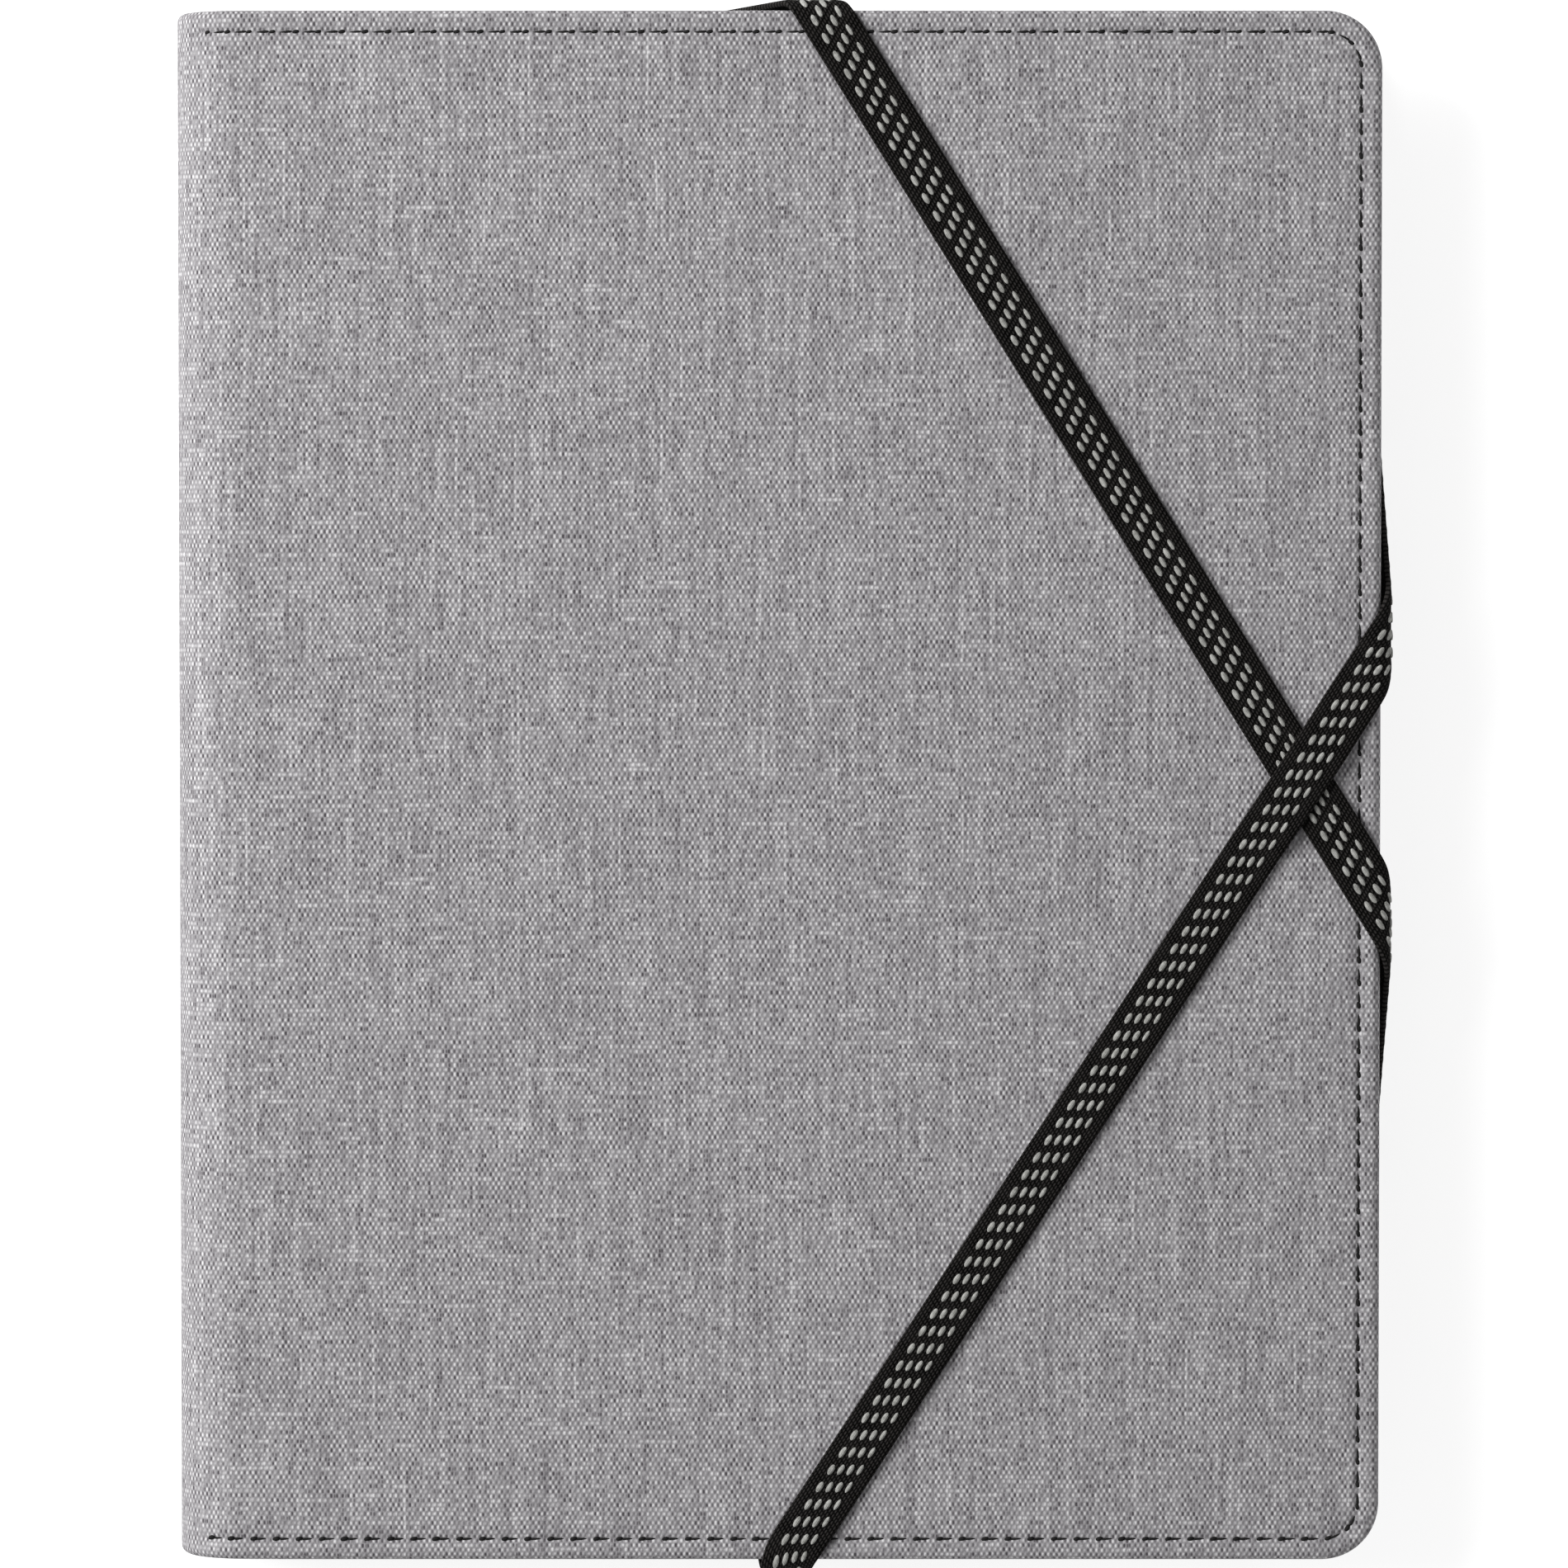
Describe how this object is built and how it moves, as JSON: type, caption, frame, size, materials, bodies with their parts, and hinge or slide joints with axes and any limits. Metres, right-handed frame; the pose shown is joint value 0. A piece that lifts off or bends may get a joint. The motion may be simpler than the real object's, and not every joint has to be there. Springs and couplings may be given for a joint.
{
  "type": "tablet keyboard case",
  "caption": "Closed folio case for a tablet in grey heather fabric, with crossed elastic bands outside and a thin keyboard with a tablet groove inside.",
  "frame": {"origin": "centre of the back cover's underside, the face that the closed case rests on", "axes": "+X from the spine to the fore-edge, +Y along the spine, +Z from the back cover up to the front cover"},
  "size_m": [0.2113, 0.2726, 0.0266],
  "materials": {
    "cover_fabric": "grey heather plain weave, matt",
    "foam": "thin foam padding",
    "stiff_board": "grey board",
    "lining_fabric": "short-nap dark lining",
    "elastic": "black woven elastic with light grey dashes",
    "strap_elastic": "black ribbed elastic",
    "adhesive_pad": "foam adhesive",
    "keyboard_shell": "fine moulded texture",
    "key_plastic": "satin keycaps",
    "plate_steel": "stamped steel",
    "membrane_film": "clear film with printed tracks",
    "dome_rubber": "moulded silicone",
    "circuit_board": "solder mask",
    "battery_pouch": "foil pouch",
    "socket_metal": "plated",
    "light_pipe": "clear light pipe",
    "slot_rubber": "soft moulded rubber",
    "screw_steel": "black zinc",
    "control_plastic": "satin control"
  },
  "bodies": {
    "back_cover": {"back_cover_fabric": "cover_fabric", "back_cover_foam": "foam", "back_cover_board": "stiff_board", "back_cover_lining": "lining_fabric", "elastic_band_upper": "elastic", "elastic_band_lower": "elastic", "keyboard_mounting_pads": "adhesive_pad", "keyboard_bottom_shell": "keyboard_shell", "key_support_plate": "plate_steel", "membrane_circuit": "membrane_film", "rubber_dome_sheet": "dome_rubber", "controller_board": "circuit_board", "battery": "battery_pouch", "charging_socket": "socket_metal", "indicator_light_pipes": "light_pipe", "key_frame": "keyboard_shell", "rear_deck": "keyboard_shell", "tablet_slot_liner": "slot_rubber", "rear_deck_screws": "screw_steel"},
    "spine": {"spine_fabric": "cover_fabric", "spine_board": "stiff_board", "spine_lining": "lining_fabric"},
    "front_cover": {"front_cover_fabric": "cover_fabric", "front_cover_foam": "foam", "front_cover_board": "stiff_board", "front_cover_lining": "lining_fabric", "tablet_strap_spine_left": "strap_elastic", "tablet_strap_spine_right": "strap_elastic", "tablet_strap_fore_left": "strap_elastic", "tablet_strap_fore_right": "strap_elastic"},
    "power_switch": {"power_switch_slider": "control_plastic"},
    "pairing_button": {"pairing_button": "control_plastic"},
    "function_keys": {"function_keys": "key_plastic"},
    "number_keys": {"number_keys": "key_plastic"},
    "backspace_key": {"backspace_key": "key_plastic"},
    "tab_key": {"tab_key": "key_plastic"},
    "top_letter_keys": {"top_letter_keys": "key_plastic"},
    "caps_lock_key": {"caps_lock_key": "key_plastic"},
    "home_letter_keys": {"home_letter_keys": "key_plastic"},
    "enter_key": {"enter_key": "key_plastic"},
    "left_shift_key": {"left_shift_key": "key_plastic"},
    "bottom_letter_keys": {"bottom_letter_keys": "key_plastic"},
    "right_shift_key": {"right_shift_key": "key_plastic"},
    "modifier_keys": {"modifier_keys": "key_plastic"},
    "space_bar": {"space_bar": "key_plastic"},
    "arrow_keys": {"arrow_keys": "key_plastic"}
  },
  "joints": [
    {"name": "spine_fold", "type": "hinge", "parent": "back_cover", "child": "spine", "pos_m": [-0.1033, 0, 0.0017], "axis": [0, -1, 0], "range_deg": [0, 90], "deforming": ["elastic_band_upper", "elastic_band_lower"]},
    {"name": "front_cover_fold", "type": "hinge", "parent": "spine", "child": "front_cover", "pos_m": [-0.1033, 0, 0.0223], "axis": [0, -1, 0], "range_deg": [0, 90]},
    {"name": "power_switch_slide", "type": "slide", "parent": "back_cover", "child": "power_switch", "axis": [0, 1, 0], "range_m": [0, 0.002]},
    {"name": "pairing_button_press", "type": "slide", "parent": "back_cover", "child": "pairing_button", "axis": [0, 0, -1], "range_m": [0, 0.0004], "stiffness_N_per_m": 900, "springref_m": -0.0004},
    {"name": "function_keys_press", "type": "slide", "parent": "back_cover", "child": "function_keys", "axis": [0, 0, -1], "range_m": [0, 0.0015], "stiffness_N_per_m": 400, "springref_m": -0.0008},
    {"name": "number_keys_press", "type": "slide", "parent": "back_cover", "child": "number_keys", "axis": [0, 0, -1], "range_m": [0, 0.0015], "stiffness_N_per_m": 400, "springref_m": -0.0008},
    {"name": "backspace_key_press", "type": "slide", "parent": "back_cover", "child": "backspace_key", "axis": [0, 0, -1], "range_m": [0, 0.0015], "stiffness_N_per_m": 400, "springref_m": -0.0008},
    {"name": "tab_key_press", "type": "slide", "parent": "back_cover", "child": "tab_key", "axis": [0, 0, -1], "range_m": [0, 0.0015], "stiffness_N_per_m": 400, "springref_m": -0.0008},
    {"name": "top_letter_keys_press", "type": "slide", "parent": "back_cover", "child": "top_letter_keys", "axis": [0, 0, -1], "range_m": [0, 0.0015], "stiffness_N_per_m": 400, "springref_m": -0.0008},
    {"name": "caps_lock_key_press", "type": "slide", "parent": "back_cover", "child": "caps_lock_key", "axis": [0, 0, -1], "range_m": [0, 0.0015], "stiffness_N_per_m": 400, "springref_m": -0.0008},
    {"name": "home_letter_keys_press", "type": "slide", "parent": "back_cover", "child": "home_letter_keys", "axis": [0, 0, -1], "range_m": [0, 0.0015], "stiffness_N_per_m": 400, "springref_m": -0.0008},
    {"name": "enter_key_press", "type": "slide", "parent": "back_cover", "child": "enter_key", "axis": [0, 0, -1], "range_m": [0, 0.0015], "stiffness_N_per_m": 400, "springref_m": -0.0008},
    {"name": "left_shift_key_press", "type": "slide", "parent": "back_cover", "child": "left_shift_key", "axis": [0, 0, -1], "range_m": [0, 0.0015], "stiffness_N_per_m": 400, "springref_m": -0.0008},
    {"name": "bottom_letter_keys_press", "type": "slide", "parent": "back_cover", "child": "bottom_letter_keys", "axis": [0, 0, -1], "range_m": [0, 0.0015], "stiffness_N_per_m": 400, "springref_m": -0.0008},
    {"name": "right_shift_key_press", "type": "slide", "parent": "back_cover", "child": "right_shift_key", "axis": [0, 0, -1], "range_m": [0, 0.0015], "stiffness_N_per_m": 400, "springref_m": -0.0008},
    {"name": "modifier_keys_press", "type": "slide", "parent": "back_cover", "child": "modifier_keys", "axis": [0, 0, -1], "range_m": [0, 0.0015], "stiffness_N_per_m": 400, "springref_m": -0.0008},
    {"name": "space_bar_press", "type": "slide", "parent": "back_cover", "child": "space_bar", "axis": [0, 0, -1], "range_m": [0, 0.0015], "stiffness_N_per_m": 400, "springref_m": -0.0008},
    {"name": "arrow_keys_press", "type": "slide", "parent": "back_cover", "child": "arrow_keys", "axis": [0, 0, -1], "range_m": [0, 0.0015], "stiffness_N_per_m": 400, "springref_m": -0.0008}
  ],
  "couplings": [
    {"joint": "front_cover_fold", "follows": "spine_fold", "ratio": 1}
  ]
}
